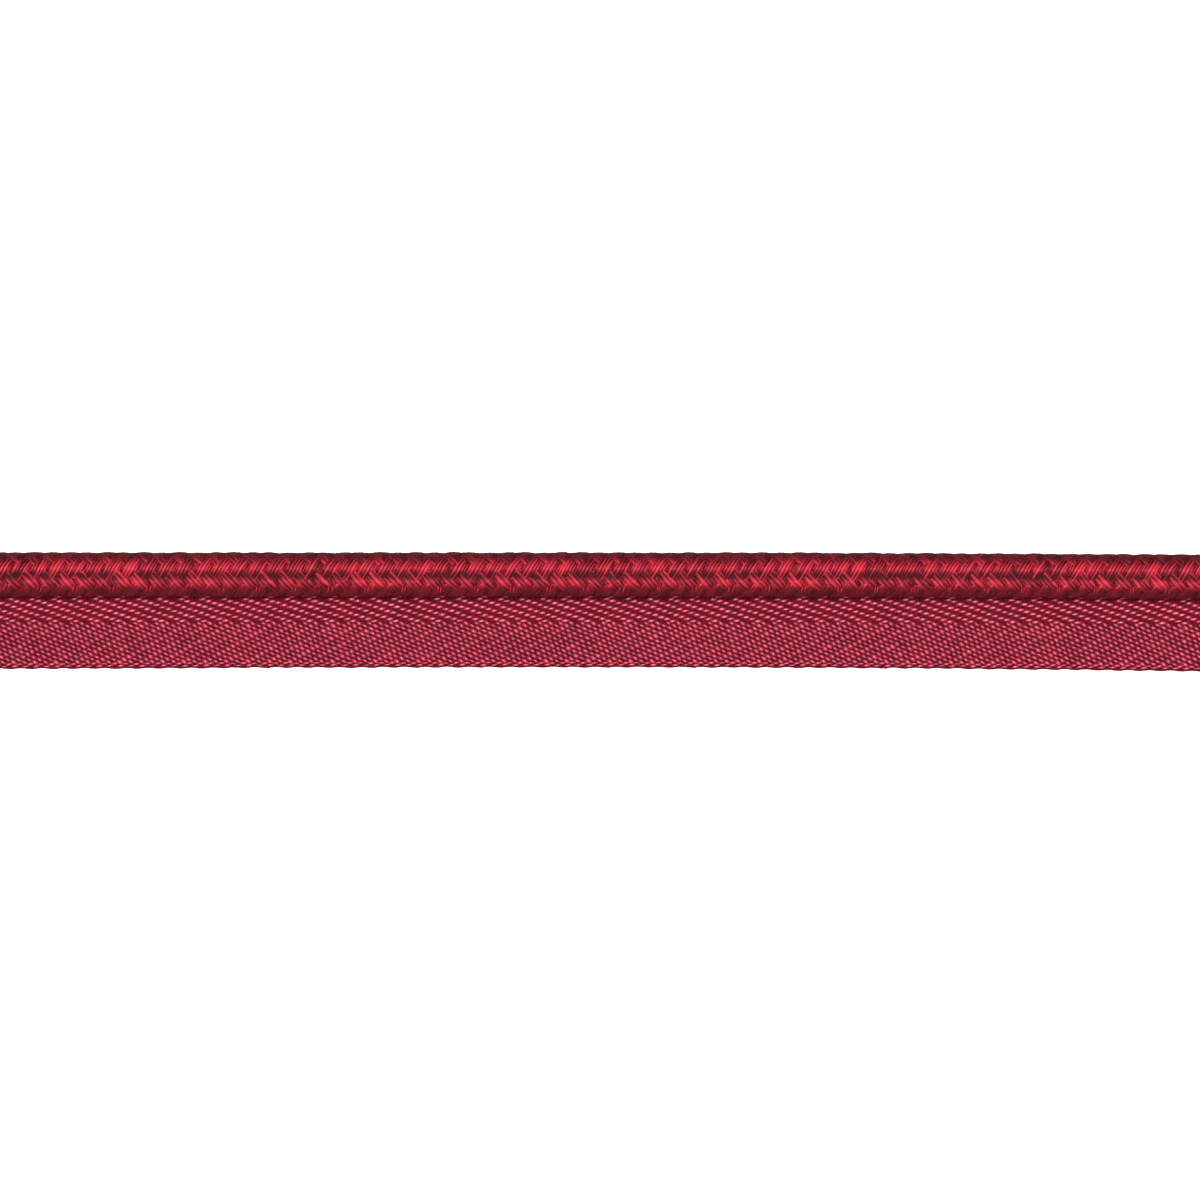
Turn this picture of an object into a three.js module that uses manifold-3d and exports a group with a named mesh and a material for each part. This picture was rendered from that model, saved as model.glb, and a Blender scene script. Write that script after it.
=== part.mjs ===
import * as THREE from "three";
import Module from "manifold-3d";
import { mergeVertices } from "three/addons/utils/BufferGeometryUtils.js";

// A cut length of lip cord lying flat: a round braided cord along the header of a woven tape.
// Millimetres. X runs along the trim, the cord lies toward +Y and the tape's free edge toward -Y.
const trimLength = 180;
const cordDiameter = 6.2;
const tapeThickness = 1;
const clearance = 0.3; // between the cord's underside and the tape

// The tape's lines, from the cord's centre line.
const headerReach = 1; // the header runs on under the cord by this much
const lipStart = 3.4; // the lip comes out from under the cord
const lipReach = 12.7; // the free edge, at the middle of the length
const edgeWidening = 0.3; // how much wider the tape is at both cut ends
const edgeWander = 0.08;
const wanderLength = 23;
const rowSpacing = 4.5;

// The line of the whole trim is straight on its left half and falls away by this much at its right end.
const bowDepth = 0.38;

// A regular braid of eight strands each way. Its floats stand in columns along the cord,
// and those of one column lean against those of the next.
const columnCount = 8;
const stitchPitch = 2.5; // from float to float along a column
const firstColumnAngle = THREE.MathUtils.degToRad(-6.4); // from straight up toward +Y
const firstStitchX = 0.5;
const reliefDepth = 0.4; // from a float's crown to the furrow beside it
const columnEdgeDepth = 0.24; // where floats dip at the edge of a column
const flatSpotDepth = 0.15;
const pointsPerColumn = 3;

const cordRadius = cordDiameter / 2;
const seatHeight = tapeThickness + clearance;
const cordHeight = seatHeight + cordRadius - flatSpotDepth;

const cordMaterial = new THREE.MeshStandardMaterial({ color: 0x96303c, roughness: 0.6, metalness: 0 });
const tapeMaterial = new THREE.MeshStandardMaterial({ color: 0xa03848, roughness: 0.7, metalness: 0 });

const wasm = await Module();
wasm.setup();

function solidOf(geometry) {
  const bare = geometry.clone();
  bare.deleteAttribute("normal");
  bare.deleteAttribute("uv");
  const merged = mergeVertices(bare);
  const mesh = new wasm.Mesh({
    numProp: 3,
    vertProperties: new Float32Array(merged.attributes.position.array),
    triVerts: new Uint32Array(merged.index.array),
  });
  return new wasm.Manifold(mesh);
}

function geometryOf(solid) {
  const mesh = solid.getMesh();
  const geometry = new THREE.BufferGeometry();
  geometry.setAttribute("position", new THREE.BufferAttribute(mesh.vertProperties, 3));
  geometry.setIndex(new THREE.BufferAttribute(mesh.triVerts, 1));
  geometry.computeVertexNormals();
  return geometry;
}

function bow(x) {
  return -bowDepth * (Math.max(0, x) / (trimLength / 2)) ** 2;
}

// A closed skin over rows of points, each row a ring from the top toward +Y, with a fan over each end.
function skinOf(rowCount, around, pointOf, endPointOf) {
  const points = [];
  const faces = [];
  for (let row = 0; row < rowCount; row += 1) {
    for (let index = 0; index < around; index += 1) points.push(...pointOf(row, index));
  }
  for (let row = 0; row < rowCount - 1; row += 1) {
    for (let index = 0; index < around; index += 1) {
      const here = row * around + index;
      const beside = row * around + ((index + 1) % around);
      faces.push(here, here + around, beside + around, here, beside + around, beside);
    }
  }
  const lastRing = (rowCount - 1) * around;
  const firstEnd = rowCount * around;
  points.push(...endPointOf(0), ...endPointOf(rowCount - 1));
  for (let index = 0; index < around; index += 1) {
    const beside = (index + 1) % around;
    faces.push(firstEnd, index, beside);
    faces.push(firstEnd + 1, lastRing + beside, lastRing + index);
  }
  const geometry = new THREE.BufferGeometry();
  geometry.setAttribute("position", new THREE.Float32BufferAttribute(points, 3));
  geometry.setIndex(faces);
  return geometry;
}

// The braid, with a float's crown and a furrow for every stitch of each column.
// Place `index` counts round the cord. A column holds `pointsPerColumn` places, the first on its edge.
function braidGeometry() {
  const around = columnCount * pointsPerColumn;
  const middleRow = 2 * Math.ceil(trimLength / 2 / stitchPitch) + 4;
  const rowX = (row) => firstStitchX + ((row - middleRow) * stitchPitch) / 2;
  function pointOf(row, index) {
    const column = Math.floor(index / pointsPerColumn);
    const across = (index % pointsPerColumn) / pointsPerColumn;
    const leaning = column % 2 === 0 ? 1 : -1;
    const x = rowX(row) + leaning * (across - 0.5) * stitchPitch;
    const onFloat = (row + column) % 2 === 0;
    const furrow = across === 0 ? columnEdgeDepth : reliefDepth;
    const radius = cordRadius - (onFloat && across > 0 ? 0 : furrow);
    const angle = firstColumnAngle + (2 * Math.PI * index) / around;
    return [x, radius * Math.sin(angle) + bow(x), radius * Math.cos(angle) + cordHeight];
  }
  const endPointOf = (row) => [rowX(row), bow(rowX(row)), cordHeight];
  return skinOf(2 * middleRow + 1, around, pointOf, endPointOf);
}

// The braid cut square at both ends, and pressed flat where it sits on the header.
function braidedCord() {
  const room = new THREE.BoxGeometry(trimLength, 2 * cordDiameter, cordDiameter);
  room.translate(0, 0, seatHeight + cordDiameter / 2);
  const cord = new THREE.Mesh(geometryOf(solidOf(braidGeometry()).intersect(solidOf(room))), cordMaterial);
  cord.name = "braided_cord";
  return cord;
}

function freeEdge(x) {
  const fromMiddle = x / (trimLength / 2);
  const wander = edgeWander * Math.sin((2 * Math.PI * x) / wanderLength);
  return bow(x) - lipReach - edgeWidening * fromMiddle ** 2 + wander;
}

// The flat tape: the lip from its free edge to the cord, and the header under the cord.
function lipTape() {
  const rowCount = Math.round(trimLength / rowSpacing) + 1;
  const rowX = (row) => (row / (rowCount - 1) - 0.5) * trimLength;
  const linesOf = (x) => [freeEdge(x), bow(x) - lipStart, bow(x) + headerReach];
  function pointOf(row, index) {
    const x = rowX(row);
    const lines = linesOf(x);
    const onTop = index < lines.length;
    return [x, lines[onTop ? index : 2 * lines.length - 1 - index], onTop ? tapeThickness : 0];
  }
  const endPointOf = (row) => [rowX(row), bow(rowX(row)) - lipStart, tapeThickness / 2];
  const tape = new THREE.Mesh(skinOf(rowCount, 2 * linesOf(0).length, pointOf, endPointOf), tapeMaterial);
  tape.name = "lip_tape";
  return tape;
}

const trim = new THREE.Group();
trim.add(braidedCord(), lipTape());

// The origin is the middle of the trim's footprint, on the surface that it lies on.
const footprint = new THREE.Box3().setFromObject(trim);
trim.position.y = -(footprint.min.y + footprint.max.y) / 2;

export default trim;
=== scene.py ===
import bpy
import numpy as np
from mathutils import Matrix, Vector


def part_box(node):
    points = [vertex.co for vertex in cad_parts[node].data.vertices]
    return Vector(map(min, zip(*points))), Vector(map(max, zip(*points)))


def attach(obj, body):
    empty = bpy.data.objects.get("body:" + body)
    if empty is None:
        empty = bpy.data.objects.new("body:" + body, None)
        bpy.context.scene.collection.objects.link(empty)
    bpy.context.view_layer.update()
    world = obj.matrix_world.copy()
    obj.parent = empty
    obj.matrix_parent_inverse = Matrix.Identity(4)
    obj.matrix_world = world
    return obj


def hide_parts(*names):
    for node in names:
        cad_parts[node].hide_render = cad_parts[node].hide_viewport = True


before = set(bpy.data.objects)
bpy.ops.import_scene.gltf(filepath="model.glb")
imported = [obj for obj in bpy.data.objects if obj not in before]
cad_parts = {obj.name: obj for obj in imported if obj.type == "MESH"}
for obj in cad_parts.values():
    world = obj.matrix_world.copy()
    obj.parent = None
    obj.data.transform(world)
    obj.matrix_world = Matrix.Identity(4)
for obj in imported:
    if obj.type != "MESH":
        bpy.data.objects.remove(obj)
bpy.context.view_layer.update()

# Everything below is worked out in millimetres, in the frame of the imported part: X along the trim,
# the cord toward +Y, the tape's free edge toward -Y, and Z up from the surface at 0.
cordLow, cordHigh = (np.array(corner) * 1000 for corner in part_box("braided_cord"))

trim = {
    "halfLength": cordHigh[0],
    "cordRadius": 3.1,
    "flatSpot": 0.15,  # the cord is pressed flat by this much on the header
    "bowDepth": 0.38,  # the right end falls away by this much
    "lipReach": 12.7,  # from the cord's axis to the tape's free edge
    "edgeWidening": 0.3,  # of the tape at both cut ends
}
axisY = cordHigh[1] - trim["cordRadius"]
axisZ = cordLow[2] + trim["cordRadius"] - trim["flatSpot"]
zUp = np.array([0.0, 0.0, 1.0])
noiseKnots = 5003  # before noise repeats, which is far more than the length of the trim takes
yarnMap = {
    "step": 1000.0,  # from one yarn to the next along U, which is more than a yarn's length in mm
    "capReach": 0.5,  # U of a cap's middle past its rim, so that the map has a width there
}
print("frame loaded: trim", 2 * trim["halfLength"], "mm long")


def bow(x):
    # Straight on the left half, then a parabola: -bowDepth * (x / halfLength)^2.
    return -trim["bowDepth"] * (np.maximum(0, x) / trim["halfLength"]) ** 2


def smoothStep(value, low, high):
    # 0 up to low, 1 from high on, and 3t^2 - 2t^3 between them.
    t = np.clip((value - low) / (high - low), 0, 1)
    return t * t * (3 - 2 * t)


def uneven(place, seed):
    # Seeded noise from -1 to 1: random knots at whole numbers, joined by smooth steps.
    knots = np.random.default_rng(seed).uniform(-1, 1, noiseKnots)
    cell = np.floor(place).astype(int)
    step = smoothStep(place - cell, 0, 1)
    return knots[cell % noiseKnots] * (1 - step) + knots[(cell + 1) % noiseKnots] * step


def unit(vectors):
    # Each vector over its own length.
    return vectors / np.linalg.norm(vectors, axis=-1, keepdims=True)


def carry(path, up, across, high, sides):
    # A yarn's rings: path + side * across * cos(angle) + rise * high * sin(angle),
    # where side = up x tangent and rise = tangent x side, both of length one.
    angles = 2 * np.pi * np.arange(sides) / sides
    tangent = np.gradient(path, axis=1)
    side = unit(np.cross(up, tangent))
    rise = unit(np.cross(tangent, side))
    sideways = side[:, :, None] * (across[:, :, None] * np.cos(angles))[..., None]
    upward = rise[:, :, None] * (high[:, :, None] * np.sin(angles))[..., None]
    return path[:, :, None] + sideways + upward


def yarnMesh(name, grids, marks=None, grooves=False):
    # Each grid is (yarn, station, side, xyz). Quads close round each yarn and a fan caps each end.
    # The map "yarn" holds 1000 * yarn + mm along it, and the share of the way round it.
    # Each of the marks is an attribute for the material, with values for the rings or points of the
    # one grid: "dive" is 0 where a yarn lies on top and 1 where it runs under another, and the mark of
    # the sides is 1 toward the cord's sides. Both are for painted shade, and on the sides the plies fade
    # too. The material reads 0 from a piece without the mark.
    # With grooves, every other edge along a yarn is a sharp one between two plies.
    points, corners, sizes, places = [], [], [], []
    base, firstYarn = 0, 0
    for grid in grids:
        count, stations, sides, _ = grid.shape
        ring = base + np.arange(count * stations * sides).reshape(count, stations, sides)
        middle = base + ring.size + np.arange(2 * count).reshape(count, 2)
        steps = np.linalg.norm(np.diff(grid.mean(axis=2), axis=1), axis=-1)
        along = np.concatenate([np.zeros((count, 1)), np.cumsum(steps, axis=1)], axis=1)
        along = along + yarnMap["step"] * (firstYarn + np.arange(count))[:, None]
        share = np.arange(sides) / sides
        here, ahead = ring[:, :-1], ring[:, 1:]
        quads = np.stack([here, np.roll(here, -1, 2), np.roll(ahead, -1, 2), ahead], axis=-1)
        quadU = np.stack([along[:, :-1]] * 2 + [along[:, 1:]] * 2, axis=-1)
        quadU = np.broadcast_to(quadU[:, :, None], quads.shape)
        quadV = np.stack([share, share + 1 / sides, share + 1 / sides, share], axis=-1)
        quadV = np.broadcast_to(quadV, quads.shape)
        first, last = ring[:, 0], ring[:, -1]
        startCap = [np.broadcast_to(middle[:, :1], first.shape), np.roll(first, -1, 1), first]
        endCap = [np.broadcast_to(middle[:, 1:], last.shape), last, np.roll(last, -1, 1)]
        caps = np.concatenate([np.stack(startCap, axis=-1), np.stack(endCap, axis=-1)])
        capU = np.concatenate([along[:, 0], along[:, -1]])[:, None, None]
        capU = capU + np.array([yarnMap["capReach"], 0, 0])
        startV = np.stack([share + 0.5 / sides, share + 1 / sides, share], axis=-1)
        endV = np.stack([share + 0.5 / sides, share, share + 1 / sides], axis=-1)
        capV = np.repeat(np.stack([startV, endV]), count, axis=0)
        points += [grid.reshape(-1, 3), grid[:, [0, -1]].mean(axis=2).reshape(-1, 3)]
        corners += [quads.ravel(), caps.ravel()]
        sizes += [np.full(quads.size // 4, 4), np.full(caps.size // 3, 3)]
        places += [np.stack([quadU, quadV], axis=-1).reshape(-1, 2)]
        capU, capV = np.broadcast_to(capU, caps.shape), np.broadcast_to(capV, caps.shape)
        places += [np.stack([capU, capV], axis=-1).reshape(-1, 2)]
        base += ring.size + middle.size
        firstYarn += count
    points, corners, sizes = np.concatenate(points), np.concatenate(corners), np.concatenate(sizes)
    mesh = bpy.data.meshes.new(name)
    mesh.vertices.add(len(points))
    mesh.vertices.foreach_set("co", (points / 1000).ravel())
    mesh.loops.add(len(corners))
    mesh.loops.foreach_set("vertex_index", corners)
    mesh.polygons.add(len(sizes))
    mesh.polygons.foreach_set("loop_start", np.cumsum(sizes) - sizes)
    mesh.polygons.foreach_set("use_smooth", sizes == 4)
    mesh.uv_layers.new(name="yarn").data.foreach_set("uv", np.concatenate(places).ravel())
    for mark, values in (marks or {}).items():
        whole = values.reshape(*grids[0].shape[:2], -1) * np.ones(grids[0].shape[2])
        whole = np.concatenate([whole.ravel(), whole[:, [0, -1]].mean(axis=2).ravel()])
        mesh.attributes.new(mark, "FLOAT", "POINT").data.foreach_set("value", whole)
    mesh.update(calc_edges=True)
    if grooves:
        ends = np.empty(2 * len(mesh.edges), int)
        mesh.edges.foreach_get("vertices", ends)
        low, high = np.sort(ends.reshape(-1, 2), axis=1).T
        sides, onYarns = grids[0].shape[2], grids[0].size // 3
        sharp = (high - low == sides) & (low % 2 == 1) & (high < onYarns)
        mesh.attributes.new("sharp_edge", "BOOLEAN", "EDGE").data.foreach_set("value", sharp)
    piece = bpy.data.objects.new(name, mesh)
    bpy.context.scene.collection.objects.link(piece)
    return piece


def place(piece, material, slotName, *nodes):
    # Every piece rides on the one body, and those with nodes stand for their solids.
    piece.data.materials.append(material)
    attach(piece, "root")
    if nodes:
        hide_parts(*nodes)
    print(piece.name, len(piece.data.polygons), "faces")


def hexColour(code):
    # sRGB hex to linear: ((c + 0.055) / 1.055)^2.4, or c / 12.92 for the darkest.
    channels = np.array([int(code[i : i + 2], 16) for i in (1, 3, 5)]) / 255
    linear = np.where(channels > 0.04045, ((channels + 0.055) / 1.055) ** 2.4, channels / 12.92)
    return (*linear, 1.0)


def addNode(tree, kind, values=None, links=None, **settings):
    # Values and links are by socket, and settings are the node's own.
    node = tree.nodes.new(kind)
    for key, value in settings.items():
        setattr(node, key, value)
    for socket, value in (values or {}).items():
        node.inputs[socket].default_value = value
    for socket, source in (links or {}).items():
        tree.links.new(source, node.inputs[socket])
    return node


def spunYarn(name, look):
    # A spun and dyed yarn. Its fine filaments lie along the plies and catch the light as streaks,
    # each ply takes the dye a little differently, painted shade darkens the grooves between two plies,
    # and the shade drifts slowly along the trim. Painted shade darkens a yarn where it dives under
    # another, where it is duller too, and toward the cord's sides, where its plies fade as well.
    material = bpy.data.materials.new(name)
    material.use_nodes = True
    tree = material.node_tree
    tree.nodes.clear()

    def math(operation, first, second=0.0):
        # Numbers go to the sockets as they are, and node outputs are linked.
        given = {0: first, 1: second}
        values = {key: item for key, item in given.items() if isinstance(item, float)}
        links = {key: item for key, item in given.items() if not isinstance(item, float)}
        return addNode(tree, "ShaderNodeMath", values, links, operation=operation).outputs[0]

    own = addNode(tree, "ShaderNodeUVMap", uv_map="yarn")
    split = addNode(tree, "ShaderNodeSeparateXYZ", links={0: own.outputs["UV"]})
    along, around = split.outputs["X"], split.outputs["Y"]

    # Filaments: noise stretched along the yarn.
    streakAlong = math("MULTIPLY", along, 1 / look["streakLength"])
    streakAround = math("MULTIPLY", around, look["filaments"])
    streakPlace = addNode(tree, "ShaderNodeCombineXYZ", links={0: streakAlong, 1: streakAround})
    streaks = addNode(
        tree,
        "ShaderNodeTexNoise",
        {"Scale": 1.0, "Detail": 2.0, "Roughness": 0.6},
        {"Vector": streakPlace.outputs[0]},
        noise_dimensions="2D",
    ).outputs["Fac"]

    # Plies: one random shade each, and 0 on a ply's crest to 1 between two plies.
    plyPlace = math("MULTIPLY", around, look["plies"])
    plyNumber = math("ROUND", plyPlace)
    fromCrest = math("MULTIPLY", math("ABSOLUTE", math("SUBTRACT", plyPlace, plyNumber)), 2.0)
    yarnNumber = math("FLOOR", math("MULTIPLY", along, 1 / yarnMap["step"]))
    plyKey = addNode(tree, "ShaderNodeCombineXYZ", links={0: yarnNumber, 1: plyNumber})
    plyShade = addNode(
        tree, "ShaderNodeTexWhiteNoise", links={"Vector": plyKey.outputs[0]}, noise_dimensions="2D"
    ).outputs["Value"]

    # Drift: noise in the trim's own space, whose coordinates are in metres.
    trimPlace = addNode(tree, "ShaderNodeTexCoord")
    drift = addNode(
        tree,
        "ShaderNodeTexNoise",
        {"Scale": 1000 / look["driftLength"], "Detail": 2.0, "Roughness": 0.55},
        {"Vector": trimPlace.outputs["Object"]},
    ).outputs["Fac"]

    # The marks of a dive and of the cord's sides, for painted shade.
    dive = addNode(tree, "ShaderNodeAttribute", attribute_name="dive").outputs["Fac"]
    sideShade = addNode(tree, "ShaderNodeAttribute", attribute_name="sideShade").outputs["Fac"]

    # shade = streaks * their share + drift * its share + plies * (1 - their fade on the sides)
    # - painted shade where it dives - painted shade on the cord's sides, with plies = random shade
    # * their share - painted groove shade * (distance from the crest)^2. The ramp turns it into the dye's
    #   colour.
    paintedGrooveShade = math("MULTIPLY", math("POWER", fromCrest, 2.0), look["plyGrooveShade"])
    plies = math("SUBTRACT", math("MULTIPLY", plyShade, look["plyShare"]), paintedGrooveShade)
    plies = math("MULTIPLY", plies, math("SUBTRACT", 1.0, math("MULTIPLY", sideShade, look["sidePlyFade"])))
    shade = math("MULTIPLY", streaks, 1 - look["plyShare"] - look["driftShare"])
    shade = math("ADD", shade, math("MULTIPLY", drift, look["driftShare"]))
    shade = math("ADD", shade, plies)
    shade = math("SUBTRACT", shade, math("MULTIPLY", dive, look["diveShade"]))
    shade = math("SUBTRACT", shade, math("MULTIPLY", sideShade, look["paintedSideShade"]))
    ramp = addNode(tree, "ShaderNodeValToRGB", links={0: shade})
    ramp.color_ramp.elements[0].position = look["darkUpTo"]
    ramp.color_ramp.elements[0].color = hexColour(look["dark"])
    ramp.color_ramp.elements[1].position = look["brightFrom"]
    ramp.color_ramp.elements[1].color = hexColour(look["bright"])
    streakRoughness = addNode(
        tree,
        "ShaderNodeMapRange",
        {"To Min": look["roughest"], "To Max": look["smoothest"]},
        {"Value": streaks},
    )
    roughness = math("ADD", streakRoughness.outputs["Result"], math("MULTIPLY", dive, look["diveRoughness"]))
    bump = addNode(
        tree,
        "ShaderNodeBump",
        {"Strength": look["bump"], "Distance": look["filamentDepth"] / 1000},
        {"Height": streaks},
    )
    tangent = addNode(tree, "ShaderNodeTangent", direction_type="UV_MAP", uv_map="yarn")
    shader = addNode(
        tree,
        "ShaderNodeBsdfPrincipled",
        {
            "IOR": look["index"],
            "Specular IOR Level": look["gloss"],
            "Specular Tint": hexColour(look["glossTint"]),
            "Anisotropic": look["anisotropy"],
            "Anisotropic Rotation": 0.25,  # a quarter turn, from along the filaments to across them
        },
        {
            "Base Color": ramp.outputs["Color"],
            "Roughness": roughness,
            "Normal": bump.outputs["Normal"],
            "Tangent": tangent.outputs["Tangent"],
        },
    )
    addNode(tree, "ShaderNodeOutputMaterial", links={"Surface": shader.outputs["BSDF"]})
    return material


# The cord: a regular braid of eight strands each way. A strand runs over two that cross it and under two.
braid = {
    "strandsEachWay": 8,
    "stitch": 2.5,  # from float to float along a column
    "high": 0.84,  # a strand's thickness
    "squareness": 2.7,  # of its section: 2 is an oval, and more is squarer
    "wave": 0.32,  # how far it rises from its middle height over the others, and dips under them
    "snap": 2.4,  # how square that wave is
    "sideCalm": 0.88,  # the share by which it and the plies stand out less at the cord's sides
    "calmFrom": 32,  # degrees from the top to either side, where that begins and is full
    "calmTo": 62,
    "fullness": 1.4,  # a float's width against its share of the way round
    "underFullness": 0.85,  # the same where the strand runs under
    "plies": 8,
    "plyDepth": 0.16,  # the groove between two plies
    "stations": 16,  # in one repeat, over two and under two
    "furrowDepth": 0.3,  # between two columns
    "furrows": ([-180, -48, -4, 50, 180], [-4, -1, 0, 1, 4]),  # degrees from the top, and their numbers
    "gather": 0.35,  # how much closer the stations are on floats
    "inside": 2.35,  # radius of the plain round that fills the braid
    "recess": 0.2,  # of its ends behind the cut strands
    "cutStep": 0.012,  # each strand is cut this much shorter than the one before
    "insideStations": 37,
    "insideSides": 24,
    "unshadedMiddle": 5,  # degrees from the top, the middle of what is left free of the painted side shade
    "sideShadeFrom": 30,  # degrees to either side of that, where the painted side shade begins and is full
    "sideShadeTo": 46,
    "sideDiveFade": 0.85,  # the share by which the mark of a dive fades toward the cord's sides
    "gatherPlaces": 2001,  # in the table that undoes the gathering
    "strandStep": 37.0,  # from one strand's run of noise to the next strand's
    "plyStep": 911.0,  # and from one ply's to the next ply's
    "unevenness": {  # amount (a share, or mm, radians or turns), mm from knot to knot, and its own draw
        "thickness": (0.06, 2.2, 0),
        "height": (0.05, 1.7, 1),
        "angle": (0.04, 2.6, 2),
        "width": (0.06, 2.4, 3),
        "twist": (0.04, 3.1, 4),
        "groove": (0.3, 1.1, 5),
    },
}
leanings = [
    {
        "name": "braid_strands_right",
        "sense": 1,
        "column": 21.5,  # degrees from straight up toward +Y, the middle of a column
        "stitch": 0.5,  # where a float of that column is centred, along X
        "low": 0.0,  # how much deeper these strands lie
        "turn": 11.6,  # mm along a strand for one turn of its plies
        "smooth": 0.0,  # the share by which its plies stand out less
        "bright": (-0.5, 0.35),  # cos(2 pi t) where the painted shade of a dive begins to lift, and where it is gone
        "seed": 11,
    },
    {
        "name": "braid_strands_left",
        "sense": -1,
        "column": -23.5,
        "stitch": 1.75,
        "low": 0.1,
        "turn": -40.0,
        "smooth": 0.4,
        "bright": (-0.4, 0.4),
        "seed": 23,
    },
]


def squaredOval(wide, high, squareness):
    # |u|^n + |v|^n = 1, scaled by the half sizes: for each point the share of the way round up to it,
    # its u and v, and its normal.
    turn = np.linspace(0, 2 * np.pi, 4 * 360 + 1)  # every quarter of a degree
    u = np.sign(np.cos(turn)) * np.abs(np.cos(turn)) ** (2 / squareness)
    v = np.sign(np.sin(turn)) * np.abs(np.sin(turn)) ** (2 / squareness)
    steps = np.hypot(wide * np.diff(u), high * np.diff(v))
    length = np.concatenate([[0], np.cumsum(steps)])
    normal = np.stack([np.gradient(high * v), -np.gradient(wide * u)])
    normal = normal / np.maximum(np.linalg.norm(normal, axis=0), 1e-9)  # never by 0
    return length / length[-1], u, v, normal[0], normal[1]


def braidStrands(leaning):
    # A strand, with t in repeats from the middle of a float:
    # x = first + repeat * t, angle = column middle + sense * a repeat's turn * t,
    # radius = middle + wave * tanh(snap * cos(2 pi t)) / tanh(snap), with less wave at the cord's sides.
    # Round it, at (u, v) of its squared oval:
    # angle += half width * u, radius += half thickness * v, less the grooves between its plies,
    # and less furrowDepth * (1 + cos(2 pi column)) / 2 between two columns, away from the cord's sides.
    # All of these sizes are a little uneven. The strands are cut a step apart from one another,
    # so that no two cut faces lie in one plane.
    count, stitch = braid["strandsEachWay"], braid["stitch"]
    sense, seed = leaning["sense"], leaning["seed"]
    repeat, repeatTurn = 2 * stitch, 4 * np.pi / count
    sides = 2 * braid["plies"]
    strandKey = braid["strandStep"] * np.arange(count)[:, None]

    def swell(what, x, key):
        amount, length, draw = braid["unevenness"][what]
        return amount * uneven(x / length + key, seed + draw)

    first = (leaning["stitch"] + stitch * np.arange(count))[:, None]
    even = np.linspace(0, 1, braid["gatherPlaces"])
    gathered = even - braid["gather"] * np.sin(2 * np.pi * even) / (2 * np.pi)
    half = trim["halfLength"] - braid["cutStep"] * (2 * np.arange(count)[:, None] + (sense < 0))
    tStart = (-half - first) / repeat
    start = np.floor(tStart) + np.interp(tStart - np.floor(tStart), gathered, even)
    stationCount = round(2 * trim["halfLength"] / repeat * braid["stations"]) + 1
    run = start + 2 * half / repeat * np.linspace(0, 1, stationCount)
    t = run - braid["gather"] * np.sin(2 * np.pi * run) / (2 * np.pi)
    x = first + repeat * t
    over = np.tanh(braid["snap"] * np.cos(2 * np.pi * t)) / np.tanh(braid["snap"])
    thick = braid["high"] / 2 * (1 + swell("thickness", x, strandKey))
    turned = np.radians(leaning["column"]) + sense * repeatTurn * t
    turned = turned + swell("angle", x, strandKey)
    calmFrom, calmTo = np.radians(braid["calmFrom"]), np.radians(braid["calmTo"])
    sideness = smoothStep(np.abs((turned + np.pi) % (2 * np.pi) - np.pi), calmFrom, calmTo)
    wave = braid["wave"] * (1 - braid["sideCalm"] * sideness)
    middle = trim["cordRadius"] - leaning["low"] - wave - thick
    radius = middle + wave * over + swell("height", x, strandKey)
    share = (braid["fullness"] + braid["underFullness"]) / 2
    share = share + (braid["fullness"] - braid["underFullness"]) / 2 * over
    halfTurn = np.pi / count * share * (1 + swell("width", x, strandKey))

    # The section turns with the plies, whose angle to the strand shows on its floats.
    lay = np.arctan2(repeatTurn * trim["cordRadius"], repeat)
    wide, high = np.pi / count * trim["cordRadius"] * np.cos(lay), braid["high"] / 2
    roundOval, *oval = squaredOval(wide, high, braid["squareness"])
    turns = x / (np.cos(lay) * leaning["turn"]) + swell("twist", x, strandKey)
    atPly = np.arange(sides) / sides - turns[:, :, None]
    atPly = atPly - np.floor(atPly)
    u, v, outU, outV = (np.interp(atPly, roundOval, values) for values in oval)
    ply = swell("groove", x[:, :, None], strandKey[:, :, None] + braid["plyStep"] * np.arange(sides))
    depth = braid["plyDepth"] * (1 - leaning["smooth"]) * (1 - braid["sideCalm"] * sideness)
    groove = depth[:, :, None] * (np.arange(sides) % 2 + ply)
    angle = turned[:, :, None] + halfTurn[:, :, None] * u
    angle = angle - groove * outU / (np.cos(lay) * trim["cordRadius"])
    fromTop = np.degrees((angle + np.pi) % (2 * np.pi) - np.pi)
    column = np.interp(fromTop, *braid["furrows"])
    # The mark of the sides is 1 toward the cord's sides. The furrows calm there, and the material paints
    # shade there.
    sideShade = smoothStep(np.abs(fromTop - braid["unshadedMiddle"]), braid["sideShadeFrom"], braid["sideShadeTo"])
    furrow = (1 + np.cos(2 * np.pi * column)) / 2 * (1 - sideShade)
    reach = radius[:, :, None] + thick[:, :, None] * v - groove * outV - braid["furrowDepth"] * furrow
    x = np.broadcast_to(x[:, :, None], angle.shape)
    grid = np.stack([x, axisY + bow(x) + reach * np.sin(angle), axisZ + reach * np.cos(angle)], axis=-1)

    # The mark of a dive, for painted shade: 1 - brightness on the floats * (1 - furrow), so the furrows are
    # shaded too, faded toward the cord's sides.
    dive = 1 - smoothStep(np.cos(2 * np.pi * t), *leaning["bright"])[:, :, None] * (1 - furrow)
    return grid, {"dive": dive * (1 - braid["sideDiveFade"] * sideShade), "sideShade": sideShade}


def insideRound():
    # A plain round along the axis, which fills the braid and closes its cut ends.
    half = trim["halfLength"] - braid["recess"]
    x = np.linspace(-half, half, braid["insideStations"])[None, :]
    path = np.stack([x, axisY + bow(x), np.full_like(x, axisZ)], axis=-1)
    radius = np.full_like(x, braid["inside"])
    return carry(path, zUp, radius, radius, braid["insideSides"])


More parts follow.
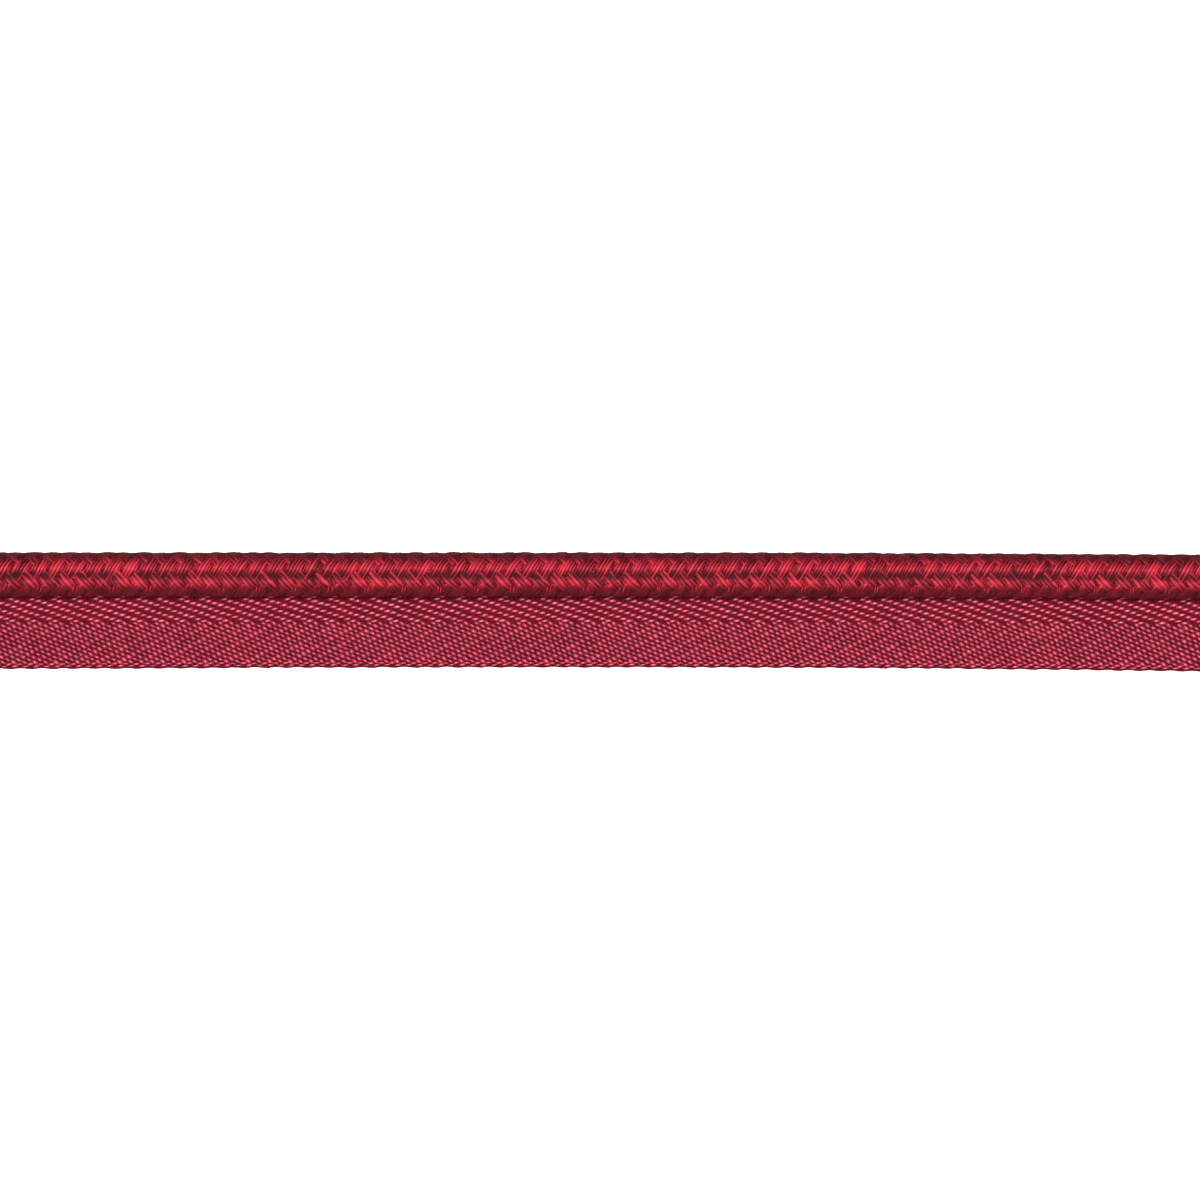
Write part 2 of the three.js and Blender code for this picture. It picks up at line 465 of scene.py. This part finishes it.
braidYarn = spunYarn(
    "rayon braid yarn",
    {
        "plies": float(braid["plies"]),
        "filaments": 30.0,  # streaks in the way round it
        "streakLength": 1.4,  # mm along it
        "plyShare": 0.45,  # of the shade, as for the drift, and the streaks have the rest
        "driftLength": 3.2,  # mm
        "driftShare": 0.15,
        "plyGrooveShade": 0.55,  # painted shade in the grooves between two plies
        "diveShade": 0.36,  # painted shade where it dives under another
        "diveRoughness": 0.35,
        "sidePlyFade": 0.95,  # the share by which its plies fade toward the cord's sides
        # painted shade toward the cord's sides, by this much
        "paintedSideShade": 0.19,
        "dark": "#2a040a",
        "bright": "#d02c3e",
        "darkUpTo": 0.0,  # the shades at both ends of the ramp
        "brightFrom": 0.6,
        "index": 1.5,  # of refraction
        "roughest": 0.62,
        "smoothest": 0.45,
        "bump": 0.6,
        "filamentDepth": 0.03,  # mm
        "gloss": 1.0,
        "glossTint": "#ff7888",
        "anisotropy": 0.5,
    },
)
for leaning in leanings:
    strandGrid, strandMarks = braidStrands(leaning)
    strands = yarnMesh(leaning["name"], [strandGrid], strandMarks, grooves=True)
    place(strands, braidYarn, "cord_yarn", "braided_cord")
insideGrid = insideRound()
# The inside round takes the mark of the sides all over, so painted shade darkens it and its plies fade.
inside = yarnMesh("braid_inside", [insideGrid], {"sideShade": np.ones(insideGrid.shape[:2])})
place(inside, braidYarn, "cord_yarn", "braided_cord")

# The tape: picks of weft slant across it, and warp ends float over one pick in four. In the lower band
# and the selvedge they float over a second one halfway.
# The twill runs one way in the upper band and the other way in the lower one.
weave = {
    "pick": 0.733,  # from pick to pick along the trim
    "slant": 0.30,  # a pick's run along X for each mm toward the free edge
    "middle": 0.5,  # height of the weft over the surface
    "weftWide": 0.8,
    "weftHigh": 0.36,
    "lift": 0.31,  # of a warp end over or under the weft's middle
    "seat": 0.38,  # how far the header rises to meet the cord
    "seatFull": 1.2,  # mm from the cord's axis, up to where that is full, and where it begins
    "seatFrom": 2.9,
    "wander": 0.14,  # of a pick along X, in picks
    "wanderLength": 4.7,  # in picks
    "wanderSeed": 41,
    "repeat": 4.0,  # picks from float to float of one end
    "under": 0.95,  # picks from the middle of a float to where the end lies lowest
    "narrow": 0.75,  # an end's width under the weft against its width on a float
    "endStep": 53.0,  # from one end's run of noise to the next end's
    "unevenness": {  # of an end: amount (mm or a share), mm from knot to knot, and its own draw
        "sideways": (0.045, 1.3, 0),
        "lift": (0.3, 0.9, 1),
        "width": (0.2, 0.7, 2),
    },
}
bands = [
    {
        "name": "tape_header_warp",
        "first": -0.75,  # the first end, in mm from the cord's axis toward the free edge
        "pitch": 0.29,
        "ends": 14,
        "twill": 1,  # picks from one end's float to the next end's, along the trim
        "wide": 0.30,
        "high": 0.26,
        "lean": 0.0,  # how far a float slants sideways
        "second": 0.0,  # height of a second float, halfway between two, against the first
        "hold": 0.35,  # picks from the middle of a float to where it begins to dip
        "stations": 8,  # in one repeat
        "sides": 5,
        "seed": 60,
    },
    {
        "name": "tape_upper_warp",
        "first": 3.37,
        "pitch": 0.273,
        "ends": 12,
        "twill": 1,
        "wide": 0.41,
        "high": 0.30,
        "lean": 0.15,
        "second": 0.0,
        "hold": 0.4,
        "stations": 14,
        "sides": 6,
        "seed": 70,
    },
    {
        "name": "tape_lower_warp",
        "first": 6.71,
        "pitch": 0.345,
        "ends": 16,
        "twill": -1,
        "wide": 0.50,
        "high": 0.30,
        "lean": -0.5,
        "second": 0.76,
        "hold": 0.12,
        "stations": 14,
        "sides": 6,
        "seed": 80,
    },
    {
        "name": "tape_selvedge_warp",
        "first": 12.14,
        "pitch": 0.27,
        "ends": 2,
        "twill": 1,
        "wide": 0.30,
        "high": 0.26,
        "lean": 0.15,
        "second": 1.0,
        "hold": 0.3,
        "stations": 14,
        "sides": 6,
        "seed": 90,
    },
]


def acrossTape(x, depth):
    # Y at a depth from the cord's axis. The free edge spreads by edgeWidening at both cut ends.
    spread = (x / trim["halfLength"]) ** 2 * (np.maximum(0, depth) / trim["lipReach"]) ** 3
    return axisY + bow(x) - depth - trim["edgeWidening"] * spread


def pickWander(number):
    # How far a pick strays from its even place, in picks.
    return weave["wander"] * uneven(number / weave["wanderLength"], weave["wanderSeed"])


def pickAt(x, depth):
    # The pick that passes a place: (x - slant * depth) / pick, with a slow seeded wander.
    steady = (x - weave["slant"] * depth) / weave["pick"]
    return steady + pickWander(steady)


def weftHeight(depth):
    # The middle of the weft, which rises by the seat's height from the lip to under the cord.
    return weave["middle"] + weave["seat"] * (1 - smoothStep(depth, weave["seatFull"], weave["seatFrom"]))


def warpEnds(band):
    # An end floats where its pick number, less its place in the twill, is a multiple of four:
    # z = the weft's height + lift * (2 * over - 1), but not under half its thickness from the surface,
    # with over = 1 - smooth step of the distance from there, and again, lower, halfway.
    # It sways sideways by lean * a repeat / (2 pi) * sin(2 pi * count / repeat).
    ends = np.arange(band["ends"])[:, None]
    depth = band["first"] + band["pitch"] * ends
    repeat = weave["repeat"]
    length = 2 * trim["halfLength"]
    stationCount = round(length / (repeat * weave["pick"]) * band["stations"]) + 1
    x = np.linspace(-trim["halfLength"], trim["halfLength"], stationCount)[None, :]
    x = np.broadcast_to(x, (band["ends"], stationCount))

    def swell(what):
        amount, length, draw = weave["unevenness"][what]
        return amount * uneven(x / length + ends * weave["endStep"], band["seed"] + draw)

    count = pickAt(x, depth) - band["twill"] * ends
    fromFloat = np.abs((count + repeat / 2) % repeat - repeat / 2)
    fromSecond = repeat / 2 - fromFloat
    up = 1 - smoothStep(fromFloat, band["hold"], weave["under"])
    upAgain = band["second"] * (1 - smoothStep(fromSecond, band["hold"], weave["under"]))
    over = np.maximum(up, upAgain)
    swayRepeat = repeat / 2 if band["second"] else repeat
    swayReach = band["lean"] * weave["pick"] * swayRepeat / (2 * np.pi)
    sideways = swell("sideways") + swayReach * np.sin(2 * np.pi * count / swayRepeat)
    lift = weave["lift"] * (1 + swell("lift"))
    height = np.maximum(weftHeight(depth) + lift * (2 * over - 1), band["high"] / 2)
    across = band["wide"] / 2 * (weave["narrow"] + (1 - weave["narrow"]) * up + swell("width"))
    angles = 2 * np.pi * (np.arange(band["sides"]) + 0.5) / band["sides"]
    y = acrossTape(x, depth)[:, :, None] + sideways[:, :, None] + across[:, :, None] * np.cos(angles)
    z = height[:, :, None] + band["high"] / 2 * np.sin(angles)
    # The mark of a dive is 1 - over: painted shade where an end runs under the weft.
    return np.stack([np.broadcast_to(x[:, :, None], y.shape), y, z], axis=-1), {"dive": 1 - over}


edge = {
    "inset": 0.1,  # its middle from the free edge
    "bulge": 0.035,  # and how far that sways
    "halfWide": 0.17,
    "widening": 0.02,  # of that, where it bulges
    "halfHigh": 0.2,
    "uneven": 0.5,  # the noise in its bulges, against them
    "unevenLength": 2.1,
    "seed": 47,
    "stations": 1201,
    "sides": 8,
}


def edgeEnd():
    # One end lies along the free edge, outside the turns of the weft:
    # depth = lip reach - inset + bulge * swell, with swell = cos(2 pi * pick / 4) + noise,
    # so that the edge bulges at every fourth pick.
    half = trim["halfLength"]
    x = np.linspace(-half, half, edge["stations"])[None, :]
    swell = np.cos(2 * np.pi / weave["repeat"] * pickAt(x, trim["lipReach"]))
    swell = swell + edge["uneven"] * uneven(x / edge["unevenLength"], edge["seed"])
    y = acrossTape(x, trim["lipReach"] - edge["inset"] + edge["bulge"] * swell)
    path = np.stack([x, y, np.full_like(x, weave["middle"])], axis=-1)
    across = edge["halfWide"] + edge["widening"] * swell
    return carry(path, zUp, across, np.full_like(x, edge["halfHigh"]), edge["sides"])


picks = {
    "header": -0.95,  # depth from the cord's axis to the header's own edge
    "turn": 12.4,  # and to where a pick begins to turn
    "stations": 15,  # down a pick that turns
    "bendStations": 9,  # round the turn
    "cutStations": 12,  # down a pick that is cut off
    "sides": 8,
    "stagger": 0.05,  # every other turn reaches further by twice this
    "uneven": 0.05,  # and each by up to this
    "unevenStep": 1.7,  # knots from pick to pick
    "seed": 43,
    "bendReach": 0.45,  # a turn's depth against half a pick
    "bendWide": 0.5,  # the weft's width in a turn against its width in a pick
    "bendHigh": 0.75,
    "least": 0.1,  # mm of a turn inside the left cut end, or the pick is left out
    "leastCut": 0.3,  # mm of a cut pick's depth, or it is left out
}


def weftPicks():
    # The weft goes down one pick and back up the next, round a flattened half circle at the free edge.
    # x = pick * (number - wander) + slant * depth, with the depth from the header to the turn and back.
    # A pick that crosses a cut end starts or stops past it by half the weft's width over the slant,
    # and what lies past the cut end is pressed flat onto it.
    header, turn = picks["header"], picks["turn"]
    half, radius = trim["halfLength"], weave["pick"] / 2
    lowest = int(np.floor((-half - weave["slant"] * turn) / weave["pick"] / 2)) - 1
    highest = int(np.ceil((half - weave["slant"] * header) / weave["pick"] / 2)) + 1
    number = 2.0 * np.arange(lowest, highest)[:, None] + 0.5
    down = np.linspace(0, 1, picks["stations"])[None, :]
    bend = np.linspace(0, np.pi, picks["bendStations"])[None, 1:-1]

    def pickX(number, depth):
        return weave["pick"] * (number - pickWander(number)) + weave["slant"] * depth

    reach = turn + picks["stagger"] * (-1.0) ** np.round((number - 0.5) / 2)
    reach = reach + picks["uneven"] * uneven(number * picks["unevenStep"], picks["seed"])
    slantReach = weave["weftWide"] / 2 / weave["slant"]
    start = np.clip((-half - weave["pick"] * number) / weave["slant"] - slantReach, header, turn)
    depthDown = start + (reach - start) * down
    depthBend = reach + radius * picks["bendReach"] * np.sin(bend)
    depthUp = reach + (start - reach) * down
    depth = np.concatenate([depthDown, depthBend, depthUp], axis=1)
    turnShare = np.concatenate([0 * down - 1, -np.cos(bend), 0 * down + 1], axis=1)
    x = pickX(number, depth) + radius * turnShare
    turnEnd = pickX(number, turn)[:, 0] + radius
    keep = (turnEnd < half) & (turnEnd > picks["least"] - half)
    depth, x = depth[keep], x[keep]
    path = np.stack([x, acrossTape(x, depth), weftHeight(depth)], axis=-1)
    inBend = np.abs(turnShare) < 1
    across = np.broadcast_to(np.where(inBend, picks["bendWide"], 1.0) * weave["weftWide"] / 2, x.shape)
    high = np.broadcast_to(np.where(inBend, picks["bendHigh"], 1.0) * weave["weftHigh"] / 2, x.shape)
    hairpins = carry(path, zUp, across, high, picks["sides"])

    # Picks whose turn lies past the right cut end are cut off there.
    number = np.arange(number[keep].max() + 1.5, half / weave["pick"] + 1)[:, None]
    stop = (half - weave["pick"] * number) / weave["slant"] + slantReach
    keep = (stop > header + picks["leastCut"])[:, 0]
    number, stop = number[keep], stop[keep]
    depth = header + (np.minimum(stop, turn) - header) * np.linspace(0, 1, picks["cutStations"])[None, :]
    x = pickX(number, depth)
    path = np.stack([x, acrossTape(x, depth), weftHeight(depth)], axis=-1)
    across, high = np.full_like(x, weave["weftWide"] / 2), np.full_like(x, weave["weftHigh"] / 2)
    cutPicks = carry(path, zUp, across, high, picks["sides"])
    for grid in (hairpins, cutPicks):
        grid[..., 0] = np.clip(grid[..., 0], -half, half)
    return [hairpins, cutPicks, edgeEnd()]


tapeYarn = {
    "plies": 5.0,
    "filaments": 26.0,
    "streakLength": 0.8,
    "plyShare": 0.15,
    "driftLength": 1.3,
    "driftShare": 0.4,
    "plyGrooveShade": 0.0,
    "diveShade": 0.35,
    "diveRoughness": 0.0,
    "sidePlyFade": 0.0,
    "paintedSideShade": 0.0,
    "dark": "#420610",
    "bright": "#cf3a57",
    "darkUpTo": 0.15,
    "brightFrom": 0.65,
    "index": 2.0,
    "roughest": 0.55,
    "smoothest": 0.4,
    "bump": 0.4,
    "filamentDepth": 0.02,
    "gloss": 1.0,
    "glossTint": "#ffb2c7",
    "anisotropy": 0.3,
}
warpYarn = spunYarn("rayon warp yarn", tapeYarn)
# The weft is a darker, duller copy of the warp yarn.
weftYarn = spunYarn(
    "darker weft yarn",
    {**tapeYarn, "dark": "#3c060e", "bright": "#640c19", "gloss": 0.05, "roughest": 0.8, "smoothest": 0.6},
)
for band in bands:
    warpGrid, warpMarks = warpEnds(band)
    warp = yarnMesh(band["name"], [warpGrid], warpMarks)
    place(warp, warpYarn, "tape_weave")
weft = yarnMesh("tape_weft", weftPicks())
place(weft, weftYarn, "tape_weave", "lip_tape")

# The thread that sews the cord to its tape shows as a pair of short loops at every second stitch.
sewing = {
    "first": -17.06,  # along X
    "pitch": 5.0,
    "apart": 0.42,  # the two loops of a pair
    "above": -36.0,  # degrees round the cord, where a loop comes out and goes in
    "below": -55.0,
    "slant": 0.2,  # its run along X
    "thick": 0.17,
    "proud": 0.04,  # its middle over the crowns of the braid
    "deep": 0.45,  # its ends under them
    "margin": 1,  # left free at both cut ends
    "stations": 9,
    "sides": 7,
    "keyScale": 3.1,  # from a loop's place to its place in the noise
    "unevenness": {"along": (0.12, 81), "angle": (3, 82), "height": (0.04, 83)},  # amount and seed
}


def sewingLoops():
    # An arc round the cord's axis at the place s from 0 to 1, with
    # radius = cord radius + proud - (proud + deep) * (1 - sin(pi * s))^2.
    lowest = np.ceil((-trim["halfLength"] + sewing["margin"] - sewing["first"]) / sewing["pitch"])
    highest = np.floor((trim["halfLength"] - sewing["margin"] - sewing["first"]) / sewing["pitch"])
    middle = sewing["first"] + sewing["pitch"] * np.arange(lowest, highest + 1)
    middle = (middle[:, None] + sewing["apart"] * np.array([-0.5, 0.5])).ravel()[:, None]

    def stray(what):
        amount, seed = sewing["unevenness"][what]
        return amount * uneven(middle * sewing["keyScale"], seed)

    s = np.linspace(0, 1, sewing["stations"])[None, :]
    x = middle + sewing["slant"] * (0.5 - s) + stray("along")
    angle = np.radians(sewing["above"] + (sewing["below"] - sewing["above"]) * s + stray("angle"))
    dip = (sewing["proud"] + sewing["deep"]) * (1 - np.sin(np.pi * s)) ** 2
    radius = trim["cordRadius"] + sewing["proud"] + stray("height") - dip
    path = np.stack([x, axisY + bow(x) + radius * np.sin(angle), axisZ + radius * np.cos(angle)], axis=-1)
    across = np.full_like(x, sewing["thick"] / 2)
    alongTrim = np.array([1.0, 0.0, 0.0])
    return carry(path, alongTrim, across, across, sewing["sides"])


thread = yarnMesh("sewing_thread", [sewingLoops()])
place(thread, braidYarn, "cord_yarn")

# A plain white table, which glows a little as a light box does, so that hardly a shadow shows on it.
table = {
    "side": 6.0,  # metres
    "white": "#fbfbfb",
    "roughness": 0.9,
    "glow": 0.6,
}


def tableTop():
    half = table["side"] / 2
    mesh = bpy.data.meshes.new("table")
    rim = [(-half, -half, 0), (half, -half, 0), (half, half, 0), (-half, half, 0)]
    mesh.from_pydata(rim, [], [(0, 1, 2, 3)])
    piece = bpy.data.objects.new("table", mesh)
    bpy.context.scene.collection.objects.link(piece)
    material = bpy.data.materials.new("white table")
    material.use_nodes = True
    shader = material.node_tree.nodes["Principled BSDF"]
    shader.inputs["Base Color"].default_value = hexColour(table["white"])
    shader.inputs["Roughness"].default_value = table["roughness"]
    shader.inputs["Specular IOR Level"].default_value = 0.0
    shader.inputs["Emission Color"].default_value = (1, 1, 1, 1)
    shader.inputs["Emission Strength"].default_value = table["glow"]
    mesh.materials.append(material)
    # No light comes back from the table to the trim, whose sides are dark in the photo.
    piece.visible_diffuse = piece.visible_glossy = False


tableTop()

# The camera looks straight down, so far off that the trim hardly narrows toward its ends.
view = {
    "pixel": 0.1376,  # mm of trim under one pixel of a 1200 pixel picture
    "picture": 1200,
    "cordLine": 574.5,  # the cord's axis, in pixels from the top of the picture
    "distance": 3000,  # mm
    "sensor": 36,  # mm
    "near": 0.01,  # metres, as for far
    "far": 20,
}


def camera():
    wide = view["pixel"] * view["picture"]
    data = bpy.data.cameras.new("camera")
    data.sensor_width = view["sensor"]
    data.lens = data.sensor_width * view["distance"] / wide
    data.clip_start, data.clip_end = view["near"], view["far"]
    piece = bpy.data.objects.new("camera", data)
    centreY = axisY - (view["picture"] / 2 - view["cordLine"]) * view["pixel"]
    piece.location = (0, centreY / 1000, view["distance"] / 1000)
    bpy.context.scene.collection.objects.link(piece)
    bpy.context.scene.camera = piece


# A soft box hangs over the camera, so that the cord throws no shadow and darkens toward both sides.
lamp = {
    "tilt": 4,  # degrees from straight up, toward +Y
    "distance": 3.4,  # metres
    "power": 154.0,  # watts
    "side": 0.9,  # metres
}
room = {"light": 0.3}


def lights():
    data = bpy.data.lights.new("overhead", "AREA")
    data.shape, data.size = "SQUARE", lamp["side"]
    data.energy = lamp["power"]
    piece = bpy.data.objects.new("overhead", data)
    tilt = np.radians(lamp["tilt"])
    piece.location = (0, lamp["distance"] * np.sin(tilt), lamp["distance"] * np.cos(tilt))
    piece.rotation_euler = (-tilt, 0, 0)
    bpy.context.scene.collection.objects.link(piece)
    world = bpy.data.worlds.new("room")
    world.use_nodes = True
    world.node_tree.nodes["Background"].inputs["Color"].default_value = (1, 1, 1, 1)
    world.node_tree.nodes["Background"].inputs["Strength"].default_value = room["light"]
    bpy.context.scene.world = world
    bpy.context.scene.view_settings.view_transform = "Standard"


camera()
lights()
print("stage, camera and lights done")
